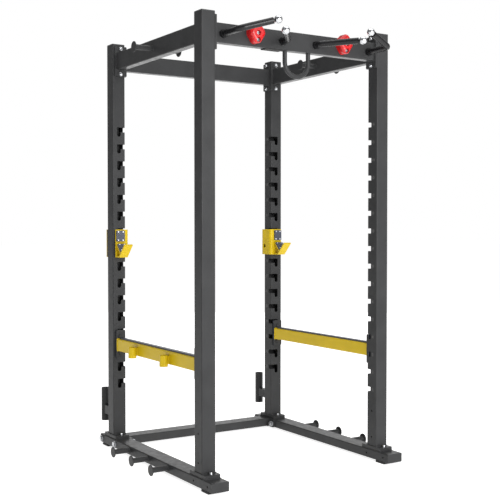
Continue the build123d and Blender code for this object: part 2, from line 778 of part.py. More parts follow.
def hook_body():
    """Bent steel hook: wrap, V-shaped cradle and two slot studs, for a rear right post."""
    face, lip, inward, foot, top, inner_foot, inner_top = hook_cradle()
    head, along, heel = ramp_line()
    under = Vector(0, -hook_plate * 2 ** 0.5)
    body = extrude(wrap_section(wrap_reach, hook_plate, hook_bend), hook_height)
    half = cradle_width / 2
    floor_part = yz_prism([(face, 0), (foot.X, 0), (inner_foot.X, hook_plate), (face, hook_plate)], -half, half)
    lip_part = yz_prism([(foot.X, foot.Y), (top.X, top.Y), (inner_top.X, inner_top.Y),
                         (inner_foot.X, inner_foot.Y)], -half, half)
    ramp_foot = heel + lip * -hook_plate
    ramp = yz_prism([(head.X, head.Y), (heel.X, heel.Y), (ramp_foot.X, ramp_foot.Y),
                     (head.X, head.Y + under.Y)], -half, half)
    body = body + floor_part + lip_part + ramp
    for stud in slot_studs(face, 1, stud_heights(hook_slot, hook_low)):
        body += stud
    for plane, length in pad_planes().values():
        for at in screw_planes(plane, length):
            body -= extrude(Plane(at) * Circle(screw_shank / 2 + 0.1), -(cradle_pad + hook_plate - 1))
    bore = rod(hook_bore / 2, (-wrap_reach - 2, hook_bore_back, hook_bore_up),
               (-half_post, hook_bore_back, hook_bore_up))
    return body - bore


def hook_liner_band():
    """Plastic lining between the hook's wrap and the post, with holes for studs and bore."""
    reach = wrap_reach - hook_plate
    band = extrude(wrap_section(reach, hook_liner, hook_bend - hook_plate), hook_height - 8)
    band = Pos(0, 0, 4) * band
    for z in stud_heights(hook_slot, hook_low):
        band -= rod(stud_radius + 0.5, (0, -reach - 1, z), (0, -half_post, z))
    return band - rod(hook_bore / 2 + 1, (-reach - 1, hook_bore_back, hook_bore_up),
                      (-half_post, hook_bore_back, hook_bore_up))


def hook_screws():
    """All the screws of the hook's pads."""
    places = [at for plane, length in pad_planes().values() for at in screw_planes(plane, length)]
    return group([screw(Plane(at)) for at in places])


def on_rear_post(shape, low, side_x):
    """Move a piece made about the post's axis to a rear post."""
    return mirrored(Pos(post_x, post_y, low) * shape, side_x)


# ---------------------------------------------------------------- safety bars
def safety_bar(side_x):
    """Box tube between a front and a rear post."""
    length = 2 * safety_end_y
    tube = hollow(safety_wide, safety_tall, safety_wall, 4.0, length)
    tube = Pos(post_x, safety_end_y, safety_low + safety_tall / 2) * Rot(90, 0, 0) * tube
    return mirrored(tube, side_x)


def safety_strip(side_x):
    """Plastic wear strip along the top of a safety bar."""
    end = safety_end_y - strip_end_gap
    top = safety_low + safety_tall
    strip = block((post_x - strip_width / 2, post_x + strip_width / 2), (-end, end), (top, top + strip_thick))
    strip = fillet(strip.faces().sort_by(Axis.Z)[-1].edges().filter_by(Axis.Y), 2.5)
    return mirrored(strip, side_x)


def safety_end():
    """End plate with two bosses and two slot studs, about a rear post's axis."""
    face = -(half_post + wall_gap + safety_liner + safety_plate)
    high = slot_highest - safety_slot * slot_pitch - safety_plate_below_slot
    low = high - safety_plate_height
    half = safety_plate_width / 2
    plate = block((-half, half), (face, face + safety_plate), (low, high))
    plate = fillet(plate.edges().filter_by(Axis.Y), 8.0)
    heights = stud_heights(safety_slot, 0)
    bar_end = block((-safety_wide / 2, safety_wide / 2), (face - boss_thick - 1, face),
                    (safety_low, safety_low + safety_tall))
    for z in heights:   # a boss that meets the bar's end is cut away round it
        plate += rod(boss_radius, (0, face - boss_thick, z), (0, face, z)) - bar_end
    for stud in slot_studs(face, 1, heights):
        plate += stud
    return plate


def safety_end_liner():
    """Plastic facing between an end plate and the post."""
    face = -(half_post + wall_gap)
    high = slot_highest - safety_slot * slot_pitch - safety_plate_below_slot - 3
    low = high - safety_plate_height + 6
    half = safety_plate_width / 2 - 2
    facing = block((-half, half), (face - safety_liner, face), (low, high))
    for z in stud_heights(safety_slot, 0):
        facing -= rod(stud_radius + 0.5, (0, face - safety_liner - 1, z), (0, face + 1, z))
    return facing


def both_ends(shape, side_x):
    """A safety bar's end piece at its rear and its front post."""
    placed = Pos(post_x, post_y, 0) * shape
    return group([mirrored(placed, side_x, REAR), mirrored(placed, side_x, FRONT)])


def bar_sleeves(side_x):
    """Two upright sleeves on saddles on a safety bar's outer face."""
    face = post_x + safety_wide / 2
    axis_x = face + sleeve_saddle + sleeve_outer / 2 - 1.5
    low = safety_low - sleeve_below_bar
    middle = safety_low + sleeve_height / 2 - sleeve_below_bar / 2
    sleeves = []
    for y in (band_peg_mid - sleeve_spacing / 2, band_peg_mid + sleeve_spacing / 2):
        tube = tube_between(sleeve_outer / 2, sleeve_wall, (axis_x, y, low), (axis_x, y, low + sleeve_height))
        saddle = block((face, face + sleeve_saddle + 4), (y - sleeve_saddle_width / 2, y + sleeve_saddle_width / 2),
                       (middle - sleeve_saddle_height / 2, middle + sleeve_saddle_height / 2))
        bore = rod(sleeve_outer / 2 - sleeve_wall, (axis_x, y, low), (axis_x, y, low + sleeve_height))
        sleeves.append(tube + (saddle - bore))
    return mirrored(group(sleeves), side_x)


# ---------------------------------------------------------------- assembly
def build():
    """Every node of the cage by name."""
    nodes = {}
    for name, (side_x, side_y) in CORNERS.items():
        nodes["post_" + name] = post(side_x, side_y)
    corners = list(CORNERS.values())
    nodes["post_caps"] = group([post_cap(*c) for c in corners])
    nodes["post_feet"] = group([plate_on_beam(base_top + seat_plate, foot_plate, *c) for c in corners])
    nodes["beam_seats"] = group([plate_on_beam(base_top, seat_plate, *c) for c in corners])
    nodes["rear_base_beam"] = rear_base_beam()
    nodes["base_end_plates"] = group([base_end(side, y, out) for side in SIDES.values()
                                      for y, out in ((base_low_y, -1), (base_high_y, 1))])
    nodes["floor_pads"] = group([floor_pad(side, at_front) for side in SIDES.values()
                                 for at_front in (True, False)])
    nodes["top_beam_front"] = front_beam()
    nodes["top_beam_rear"] = cross_top_beam(REAR)
    nodes["top_bolts"] = top_bolts()
    nodes["top_weld_nuts"] = top_nuts()
    nodes["foot_bolts"] = foot_bolts()
    nodes["foot_weld_nuts"] = foot_nuts()
    nodes["cross_bolts"] = cross_bolts()
    nodes["cross_washers"] = cross_washers()
    nodes["cross_nuts"] = cross_nuts()
    nodes["hold_bolts"] = hold_bolts()
    nodes["hanging_loop"] = hanging_loop()
    nodes["beam_strip"] = beam_strip()
    grips = {"outer": (outer_grip_root, outer_grip_reach, outer_ball),
             "inner": (inner_grip_root, inner_grip_reach, inner_ball)}
    for side, side_x in SIDES.items():
        nodes["base_beam_" + side] = base_beam(side_x)
        nodes["top_beam_" + side] = side_top_beam(side_x)
        nodes["band_pegs_" + side] = base_pegs(side_x)
        nodes["top_pegs_" + side] = top_pegs(side_x)
        for place, sizes in grips.items():
            nodes[f"grip_{place}_{side}"] = mirrored(grip(*sizes), side_x)
        nodes["climbing_hold_" + side] = climbing_hold(side_x)
        nodes["bar_holder_" + side] = bar_holder(side_x)
        nodes["hook_body_" + side] = on_rear_post(hook_body(), hook_low, side_x)
        nodes["hook_upper_pad_" + side] = on_rear_post(hook_pad("back"), hook_low, side_x)
        nodes["hook_cradle_pad_" + side] = on_rear_post(hook_pad("ramp"), hook_low, side_x)
        nodes["hook_liner_" + side] = on_rear_post(hook_liner_band(), hook_low, side_x)
        nodes["hook_screws_" + side] = on_rear_post(hook_screws(), hook_low, side_x)
        nodes["safety_bar_" + side] = safety_bar(side_x)
        nodes["safety_strip_" + side] = safety_strip(side_x)
        nodes["safety_ends_" + side] = both_ends(safety_end(), side_x)
        nodes["safety_end_liners_" + side] = both_ends(safety_end_liner(), side_x)
        nodes["bar_sleeves_" + side] = bar_sleeves(side_x)
    nodes["grip_balls"] = group([mirrored(grip_ball(*sizes), side_x) for side_x in SIDES.values()
                                 for sizes in grips.values()])
    return nodes


os.makedirs("parts", exist_ok=True)
for node, shape in build().items():
    placed = Pos(0, origin_shift, 0) * shape
    export_step(placed, f"parts/{node}.step")
print(f"origin_shift {origin_shift:.2f}  hook_low {hook_low:.2f}  lift {lift:.1f}")
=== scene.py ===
"""Power cage: finishes, slot numbers, weld beads, studio and camera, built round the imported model."""

import json
import logging
import math
from dataclasses import dataclass, field
from enum import Enum
from typing import Protocol

import bmesh
import bpy
from mathutils import Matrix, Vector

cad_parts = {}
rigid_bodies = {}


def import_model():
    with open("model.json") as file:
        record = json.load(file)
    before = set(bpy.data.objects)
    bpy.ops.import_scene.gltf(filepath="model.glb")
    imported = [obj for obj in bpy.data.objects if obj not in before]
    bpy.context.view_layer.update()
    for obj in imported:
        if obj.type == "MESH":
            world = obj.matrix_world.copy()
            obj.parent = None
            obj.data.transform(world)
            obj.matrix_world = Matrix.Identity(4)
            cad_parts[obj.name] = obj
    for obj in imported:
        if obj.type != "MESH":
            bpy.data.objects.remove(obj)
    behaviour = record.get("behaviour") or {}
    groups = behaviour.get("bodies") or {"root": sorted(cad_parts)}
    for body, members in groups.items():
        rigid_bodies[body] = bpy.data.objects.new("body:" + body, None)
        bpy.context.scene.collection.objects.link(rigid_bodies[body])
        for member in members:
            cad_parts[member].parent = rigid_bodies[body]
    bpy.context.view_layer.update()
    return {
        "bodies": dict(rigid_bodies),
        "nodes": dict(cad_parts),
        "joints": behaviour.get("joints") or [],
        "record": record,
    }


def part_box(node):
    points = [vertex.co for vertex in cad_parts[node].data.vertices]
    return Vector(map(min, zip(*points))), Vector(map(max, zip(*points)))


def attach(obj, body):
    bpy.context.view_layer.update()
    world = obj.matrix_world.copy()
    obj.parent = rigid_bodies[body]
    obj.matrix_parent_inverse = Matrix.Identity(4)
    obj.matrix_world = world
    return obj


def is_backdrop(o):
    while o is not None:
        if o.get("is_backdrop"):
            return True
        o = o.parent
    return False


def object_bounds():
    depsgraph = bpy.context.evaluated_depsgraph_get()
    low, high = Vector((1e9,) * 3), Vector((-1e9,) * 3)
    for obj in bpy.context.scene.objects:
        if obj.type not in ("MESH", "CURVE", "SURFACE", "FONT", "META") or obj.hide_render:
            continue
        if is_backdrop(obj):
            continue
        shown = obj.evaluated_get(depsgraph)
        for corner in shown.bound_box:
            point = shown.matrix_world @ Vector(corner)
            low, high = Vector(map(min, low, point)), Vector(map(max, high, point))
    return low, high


logging.basicConfig(level=logging.INFO, format="%(message)s")
log = logging.getLogger("power_cage")

Colour = tuple[float, float, float]
Point = tuple[float, float, float]


class Side(Enum):
    """Which half of the cage a piece belongs to, with its sign along X."""

    LEFT = -1
    RIGHT = 1

    @property
    def word(self) -> str:
        """The side's name as the nodes spell it."""
        return self.name.lower()


class End(Enum):
    """Which end of the cage a piece belongs to, with its sign along Y."""

    FRONT = -1
    REAR = 1

    @property
    def word(self) -> str:
        """The end's name as the nodes spell it."""
        return self.name.lower()


# ------------------------------------------------------------------ finishes

# How far a rounded edge turns the surface: the cosine on a full edge, and the cosine that counts as flat.
EDGE_COSINE = 0.86
FLAT_COSINE = 0.995


def shade(colour: Colour, factor: float) -> Colour:
    """A colour times a factor, darker below 1 and paler above, kept at or under 1."""
    return tuple(min(1.0, c * factor) for c in colour)


class Recipe:
    """A material under construction: one Principled shader and the nodes that feed it."""

    def __init__(self, name: str) -> None:
        """Start an empty node material.

        Args:
            name: the material's name.
        """
        self.material = bpy.data.materials.new(name)
        self.material.use_nodes = True
        self.tree = self.material.node_tree
        self.shader = self.tree.nodes["Principled BSDF"]
        self.place = self.tree.nodes.new("ShaderNodeTexCoord").outputs["Object"]

    def node(self, kind: str, **settings: object) -> bpy.types.Node:
        """Add a node.

        Args:
            kind: the node's type name.
            **settings: attributes to set on it.

        Returns:
            The new node.
        """
        made = self.tree.nodes.new(kind)
        for key, value in settings.items():
            setattr(made, key, value)
        return made

    def link(self, source: bpy.types.NodeSocket, target: bpy.types.NodeSocket) -> None:
        """Join an output to an input."""
        self.tree.links.new(source, target)

    def set(self, **values: object) -> None:
        """Set the shader's own sockets, with underscores for the spaces in their names."""
        for key, value in values.items():
            self.shader.inputs[key.replace("_", " ")].default_value = value

    def noise(self, scale: float, detail: float,
              stretch: Point = (1.0, 1.0, 1.0)) -> bpy.types.NodeSocket:
        """Noise fixed to the piece.

        Args:
            scale: features to the metre.
            detail: octaves.
            stretch: factors along the axes.

        Returns:
            The noise value, about 0.5.
        """
        mapping = self.node("ShaderNodeMapping")
        mapping.inputs["Scale"].default_value = stretch
        self.link(self.place, mapping.inputs["Vector"])
        made = self.node("ShaderNodeTexNoise")
        made.inputs["Scale"].default_value = scale
        made.inputs["Detail"].default_value = detail
        self.link(mapping.outputs["Vector"], made.inputs["Vector"])
        return made.outputs["Fac"]

    def spread(self, value: bpy.types.NodeSocket, low: float, high: float,
               start: float = 0.3, end: float = 0.7) -> bpy.types.NodeSocket:
        """Map a value's range onto another.

        Args:
            value: what to map.
            low: result at start.
            high: result at end.
            start: lower end of the range read.
            end: upper end of the range read.

        Returns:
            The mapped value.
        """
        made = self.node("ShaderNodeMapRange")
        for name, number in (("From Min", start), ("From Max", end), ("To Min", low), ("To Max", high)):
            made.inputs[name].default_value = number
        self.link(value, made.inputs["Value"])
        return made.outputs["Result"]

    def times(self, one: bpy.types.NodeSocket, other: bpy.types.NodeSocket) -> bpy.types.NodeSocket:
        """Product of two values."""
        made = self.node("ShaderNodeMath", operation="MULTIPLY")
        self.link(one, made.inputs[0])
        self.link(other, made.inputs[1])
        return made.outputs[0]

    def blend(self, amount: bpy.types.NodeSocket, under: object, over: object) -> bpy.types.NodeSocket:
        """Mix two colours.

        Args:
            amount: share of the second.
            under: first colour, or an output that gives it.
            over: second colour, or an output that gives it.

        Returns:
            The mixed colour.
        """
        made = self.node("ShaderNodeMix", data_type="RGBA")
        self.link(amount, made.inputs[0])
        for socket, colour in ((made.inputs[6], under), (made.inputs[7], over)):
            if isinstance(colour, tuple):
                socket.default_value = (*colour, 1.0)
            else:
                self.link(colour, socket)
        return made.outputs[2]

    def edges(self, radius: float) -> bpy.types.NodeSocket:
        """Mask of the sharp outer edges.

        Args:
            radius: how far the mask reaches, in metres.

        Returns:
            1 on an edge and 0 on a flat.
        """
        rounded = self.node("ShaderNodeBevel", samples=4)
        rounded.inputs["Radius"].default_value = radius
        flat = self.node("ShaderNodeNewGeometry")
        dot = self.node("ShaderNodeVectorMath", operation="DOT_PRODUCT")
        self.link(rounded.outputs["Normal"], dot.inputs[0])
        self.link(flat.outputs["Normal"], dot.inputs[1])
        return self.spread(dot.outputs["Value"], 1.0, 0.0, EDGE_COSINE, FLAT_COSINE)

    def bump(self, height: bpy.types.NodeSocket, depth: float, strength: float,
             over: bpy.types.NodeSocket | None = None) -> bpy.types.NodeSocket:
        """Relief from a height.

        Args:
            height: the relief's pattern.
            depth: its depth in metres.
            strength: how strongly it shows.
            over: normal it is laid over.

        Returns:
            The bumped normal.
        """
        made = self.node("ShaderNodeBump")
        made.inputs["Strength"].default_value = strength
        made.inputs["Distance"].default_value = depth
        self.link(height, made.inputs["Height"])
        if over is not None:
            self.link(over, made.inputs["Normal"])
        return made.outputs["Normal"]

    def mottled(self, colour: Colour, scale: float, dark: float, pale: float,
                detail: float = 4.0) -> bpy.types.NodeSocket:
        """A colour that drifts between two shades of itself.

        Args:
            colour: the middle shade.
            scale: clouds to the metre.
            dark: factor of the darker shade.
            pale: factor of the paler shade.
            detail: octaves in the clouds.

        Returns:
            The mottled colour.
        """
        cloud = self.spread(self.noise(scale, detail), 0.0, 1.0)
        return self.blend(cloud, shade(colour, dark), shade(colour, pale))

    def roughen(self, scale: float, low: float, high: float, detail: float = 4.0) -> None:
        """Let the shader's roughness drift between two values.

        Args:
            scale: patches to the metre.
            low: the smoothest.
            high: the roughest.
            detail: octaves in the patches.
        """
        self.link(self.spread(self.noise(scale, detail), low, high), self.shader.inputs["Roughness"])

    def colour_from(self, colour: bpy.types.NodeSocket) -> None:
        """Take the shader's colour from an output."""
        self.link(colour, self.shader.inputs["Base Color"])

    def normal_from(self, normal: bpy.types.NodeSocket) -> None:
        """Take the shader's normal from an output."""
        self.link(normal, self.shader.inputs["Normal"])


class Finish(Protocol):
    """Anything that can make a material."""

    def material(self) -> bpy.types.Material:
        """The finish as a node material."""
        ...


@dataclass(frozen=True)
class PowderCoat:
    """Baked powder coat with orange peel, soft mottling and edges painted paler: a painted edge highlight,
    broken up by noise like worn paint.
    """

    name: str
    colour: Colour
    roughness: float = 0.34
    peel_scale: float = 620.0
    peel_depth: float = 0.00016
    mottling: float = 0.10
    # How much paler the edges are painted: a painted edge highlight, partly edge wear.
    edge_lift: float = 1.5
    edge_reach: float = 0.0022
    specular: float = 0.13
    cloud_scale: float = 9.0
    # Size of the noise that breaks up the painted edge highlight, as worn paint would.
    wear_scale: float = 70.0
    patch_scale: float = 38.0

    def material(self) -> bpy.types.Material:
        """The coat as a node material."""
        make = Recipe(self.name)
        make.set(Metallic=0.0, Specular_IOR_Level=self.specular)
        body = make.mottled(self.colour, self.cloud_scale, 1.0 - self.mottling, 1.0 + self.mottling)
        # Paler edges: a bevel mask, broken up by noise, lifts the colour at the edges. This is a painted
        # edge highlight, partly worn paint.
        broken = make.spread(make.noise(self.wear_scale, 5.0), low=0.25, high=1.0, start=0.38, end=0.62)
        rim = make.times(make.edges(self.edge_reach), broken)
        make.colour_from(make.blend(rim, body, shade(self.colour, self.edge_lift)))
        make.roughen(self.patch_scale, self.roughness - 0.06, self.roughness + 0.07)
        peel = make.bump(make.noise(self.peel_scale, 2.0), self.peel_depth, strength=0.5)
        waves = make.noise(self.peel_scale / 6, 1.0)
        make.normal_from(make.bump(waves, self.peel_depth * 1.5, strength=0.3, over=peel))
        return make.material


@dataclass(frozen=True)
class Plating:
    """Bare or plated metal, from polished chrome to dull zinc."""

    name: str
    colour: Colour
    roughness: float
    smudge: float = 0.05
    scratch_depth: float = 0.00002
    scratch_scale: float = 900.0
    scratch_stretch: Point = (1.0, 1.0, 0.08)
    cloud_scale: float = 60.0
    patch_scale: float = 140.0

    def material(self) -> bpy.types.Material:
        """The plating as a node material."""
        make = Recipe(self.name)
        make.set(Metallic=1.0)
        make.colour_from(make.mottled(self.colour, self.cloud_scale, dark=0.93, pale=1.0))
        make.roughen(self.patch_scale, self.roughness, self.roughness + self.smudge, detail=5.0)
        lines = make.noise(self.scratch_scale, 2.0, self.scratch_stretch)
        make.normal_from(make.bump(lines, self.scratch_depth, strength=0.35))
        return make.material


@dataclass(frozen=True)
class Moulded:
    """Moulded plastic or rubber with a fine grain, random mottling and edges painted paler or darker by an
    edge mask.
    """

    name: str
    colour: Colour
    roughness: float = 0.5
    grain_scale: float = 1400.0
    grain_depth: float = 0.00008
    # Factor on the colour at the edges: above 1 paints them paler, below 1 paints them darker.
    edge_lift: float = 1.4
    edge_reach: float = 0.0015
    scuff: float = 0.12
    specular: float = 0.5
    cloud_scale: float = 25.0
    patch_scale: float = 90.0
    patchiness: float = 0.08

    def material(self) -> bpy.types.Material:
        """The plastic as a node material."""
        make = Recipe(self.name)
        make.set(Specular_IOR_Level=self.specular)
        body = make.mottled(self.colour, self.cloud_scale, 1.0 - self.scuff, 1.0 + self.scuff)
        # Edge tone from a bevel mask: paler edges when edge_lift is above 1, darker when below. On the
        # liner the darker edges are painted shade.
        rim = make.edges(self.edge_reach)
        make.colour_from(make.blend(rim, body, shade(self.colour, self.edge_lift)))
        make.roughen(self.patch_scale, self.roughness - self.patchiness, self.roughness + self.patchiness)
        make.normal_from(make.bump(make.noise(self.grain_scale, 2.0), self.grain_depth, strength=0.5))
        return make.material


@dataclass(frozen=True)
class CastResin:
    """Glossy cast resin with the soft hand-shaped relief of a climbing hold."""

    name: str
    colour: Colour
    roughness: float = 0.3
    swirl_scale: float = 34.0
    patch_scale: float = 120.0
    hollow_scale: float = 26.0
    hollow_depth: float = 0.0035
    speck_scale: float = 520.0
    speck_depth: float = 0.0003

    def material(self) -> bpy.types.Material:
        """The resin as a node material."""
        make = Recipe(self.name)
        make.set(Specular_IOR_Level=0.4, Coat_Weight=0.25, Coat_Roughness=0.15)
        make.colour_from(make.mottled(self.colour, self.swirl_scale, dark=0.78, pale=1.15, detail=5.0))
        make.roughen(self.patch_scale, self.roughness - 0.07, self.roughness + 0.12, detail=3.0)
        hollows = make.bump(make.noise(self.hollow_scale, 2.0), self.hollow_depth, strength=0.7)
        specks = make.noise(self.speck_scale, 3.0)
        make.normal_from(make.bump(specks, self.speck_depth, strength=0.35, over=hollows))
        return make.material


@dataclass(frozen=True)
class PrintedInk:
    """Pale printing ink with slightly worn coverage."""

    name: str = "pale_print"
    colour: Colour = (0.15, 0.15, 0.145)
    roughness: float = 0.55
    wear_scale: float = 900.0

    def material(self) -> bpy.types.Material:
        """The ink as a node material."""
        make = Recipe(self.name)
        make.set(Roughness=self.roughness)
        worn = make.spread(make.noise(self.wear_scale, 3.0), low=0.0, high=1.0, start=0.35, end=0.6)
        make.colour_from(make.blend(worn, shade(self.colour, 0.7), self.colour))
        return make.material


CHARCOAL: Colour = (0.037, 0.0374, 0.0383)
YELLOW: Colour = (0.60, 0.425, 0.008)

FINISHES: dict[str, Finish] = {
    # The coats' edge_lift paints their edges paler: a painted edge highlight on posts, bends and lips,
    # partly edge wear.
    "frame_coat": PowderCoat("charcoal_powder_coat", CHARCOAL),
    "yellow_coat": PowderCoat("yellow_powder_coat", YELLOW, mottling=0.05, edge_lift=1.25, specular=0.2),
    "grip_coat": PowderCoat("black_grip_coat", (0.009, 0.009, 0.010), roughness=0.27,
                            peel_scale=900.0, specular=0.3),
    "hold_resin": CastResin("red_cast_resin", (0.56, 0.008, 0.010)),
    "polished_chrome": Plating("polished_chrome", (0.66, 0.67, 0.69), 0.06),
    "plain_steel": Plating("zinc_plated_steel", (0.58, 0.59, 0.61), 0.26, smudge=0.14),
    "pad_screws": Plating("bright_zinc_steel", (0.62, 0.63, 0.67), 0.2, smudge=0.1),
    "black_plastic": Moulded("black_moulded_plastic", (0.018, 0.018, 0.019), roughness=0.45),
    # The liner's edges are painted darker (edge_lift 0.45): painted shade that stands in for the grey sheen
    # its flat faces catch.
    "liner_plastic": Moulded("blue_black_wear_plastic", (0.040, 0.046, 0.070), roughness=0.42,
                             edge_lift=0.45),
    "pad_rubber": Moulded("black_rubber", (0.022, 0.022, 0.022), roughness=0.72, specular=0.3),
}


class PaintShop:
    """Makes each finish once and dresses the model's own pieces with it."""

    def __init__(self) -> None:
        """Make every finish."""
        self.made = {slot: finish.material() for slot, finish in FINISHES.items()}
        for material in self.made.values():
            material.use_fake_user = True

    def dress(self, piece: bpy.types.Object, slot: str) -> None:
        """Put a finish on a piece.

        Args:
            piece: the piece.
            slot: the finish's name among the record's slots.
        """
        if not piece.material_slots:
            piece.data.materials.append(self.made[slot])
        for held in piece.material_slots:
            held.material = self.made[slot]

    def dress_frame(self, frame: dict) -> None:
        """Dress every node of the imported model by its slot.
        """
        for part in frame["record"]["subparts"]:
            self.dress(frame["nodes"][part["node"]], part["material_slot"])
            log.info("%s takes %s", part["node"], part["material_slot"])


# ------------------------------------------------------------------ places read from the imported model


def middle(node: str) -> Vector:
    """Centre of a node's box."""
    low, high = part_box(node)
    return (low + high) / 2


def post_name(end: End, side: Side) -> str:
    """Name of one post's node."""
    return f"post_{end.word}_{side.word}"


def link_piece(name: str, mesh: bpy.types.Mesh, body: str) -> bpy.types.Object:
    """Put a finished mesh in the scene, riding on a body.

    Args:
        name: the piece's name.
        mesh: its mesh, in the row frame.
        body: the body it moves with.

    Returns:
        The new object.
    """
    made = bpy.data.objects.new(name, mesh)
    bpy.context.scene.collection.objects.link(made)
    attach(made, body)
    return made


# ------------------------------------------------------------------ slot numbers


@dataclass
class SlotNumbers:
    """Printed number discs on a post's inner side face, one beside each slot, counted from the bottom."""

    end: End
    side: Side
    count: int = 16
    pitch: float = 0.100
    highest: float = 1.901
    from_slotted_face: float = 0.0485
    disc_radius: float = 0.0125
    disc_height: float = 0.0003
    disc_gap: float = 0.00002
    rim_start: float = 0.6
    rim_inset: float = 0.96
    figure_height: float = 0.0155
    font_to_height: float = 1.35
    segments: int = 36
    pieces: list[bpy.types.Object] = field(default_factory=list)

    def figure(self, number: int) -> bpy.types.Mesh:
        """Flat mesh of a number.

        Args:
            number: what it says.

        Returns:
            The mesh, centred on its own origin.
        """
        text = bpy.data.curves.new("figure", "FONT")
        text.body = str(number)
        text.size = self.figure_height * self.font_to_height
        text.extrude = self.disc_height / 3
        text.align_x = "CENTER"
        text.align_y = "CENTER"
        carrier = bpy.data.objects.new("figure", text)
        mesh = bpy.data.meshes.new_from_object(carrier)
        bpy.data.objects.remove(carrier)
        return mesh

    def add_disc(self, shape: bmesh.types.BMesh, place: Matrix) -> None:
        """Add one thin disc with a softened rim.

        Args:
            shape: mesh that takes it.
            place: where it lies, Z off the post.
        """
        turns = [2 * math.pi * i / self.segments for i in range(self.segments)]
        profile = (
            (self.disc_radius, self.disc_gap),
            (self.disc_radius, self.disc_height * self.rim_start),
            (self.disc_radius * self.rim_inset, self.disc_height),
        )
        rings = []
        for radius, height in profile:
            points = [Vector((radius * math.cos(a), radius * math.sin(a), height)) for a in turns]
            rings.append([shape.verts.new(place @ point) for point in points])
        for lower, upper in zip(rings, rings[1:]):
            for i in range(self.segments):
                j = (i + 1) % self.segments
                shape.faces.new((lower[i], lower[j], upper[j], upper[i]))
        shape.faces.new(rings[-1])
        shape.faces.new(list(reversed(rings[0])))

    def places(self) -> list[Matrix]:
        """Where the discs lie, lowest first, with X to the reader's right and Z off the post."""
        low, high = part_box(post_name(self.end, self.side))
        sign = self.side.value
        x = low.x if sign > 0 else high.x
        y = low.y + self.from_slotted_face if self.end is End.REAR else high.y - self.from_slotted_face
        turn = Matrix(((0, 0, -sign), (-sign, 0, 0), (0, 1, 0))).to_4x4()
        lowest = self.highest - (self.count - 1) * self.pitch
        return [Matrix.Translation((x, y, lowest + i * self.pitch)) @ turn for i in range(self.count)]

    def build(self) -> "SlotNumbers":
        """Make the post's discs and figures as two meshes.

        Returns:
            Itself.
        """
        name = f"{self.end.word}_{self.side.word}"
        discs = bmesh.new()
        figures = bmesh.new()
        for i, place in enumerate(self.places()):
            self.add_disc(discs, place)
            mesh = self.figure(i + 1)
            mesh.transform(place @ Matrix.Translation((0, 0, self.disc_height)))
            figures.from_mesh(mesh)
            bpy.data.meshes.remove(mesh)
        for kind, shape, slot in (("discs", discs, "black_plastic"), ("figures", figures, "pad_screws")):
            mesh = bpy.data.meshes.new(f"slot_{kind}_{name}")
            shape.to_mesh(mesh)
            shape.free()
            self.pieces.append(link_piece(mesh.name, mesh, "frame"))
        return self

    def dress(self, shop: PaintShop, ink: bpy.types.Material) -> None:
        """Black discs with pale printed figures.

        Args:
            shop: where the finishes are.
            ink: what the figures are printed in.
        """
        discs, figures = self.pieces
        shop.dress(discs, "black_plastic")
        figures.data.materials.append(ink)


# ------------------------------------------------------------------ weld beads


@dataclass(frozen=True)
class WeldRun:
    """One closed fillet bead round a tube or bar where it meets a plate."""

    centre: Point
    normal: Point
    across: Point
    wide: float
    tall: float
    corner: float
    bead: float = 0.0032


